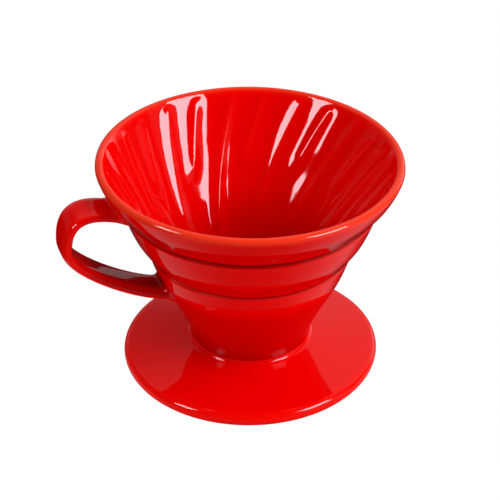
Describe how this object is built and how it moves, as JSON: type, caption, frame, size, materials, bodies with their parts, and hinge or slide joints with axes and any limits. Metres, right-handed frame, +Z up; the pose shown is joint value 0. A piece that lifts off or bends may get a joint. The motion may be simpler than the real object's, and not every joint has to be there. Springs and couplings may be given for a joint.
{
  "type": "pour over dripper",
  "caption": "Glazed ceramic cone dripper with spiral inner ribs, stepped outside, bell neck, saucer with a locating foot ring, and an ear-shaped strap handle.",
  "frame": {"origin": "on the funnel's axis, in the plane of the saucer's flat underside", "axes": "+Z up along the funnel's axis, from the outlet to the rim; the handle points along -X"},
  "size_m": [0.1341, 0.117, 0.0945],
  "materials": {
    "red_glaze": "glossy",
    "bare_clay": "matte"
  },
  "bodies": {
    "root": {"funnel": "red_glaze", "saucer": "red_glaze", "foot_ring": "bare_clay", "handle": "red_glaze"}
  },
  "joints": []
}
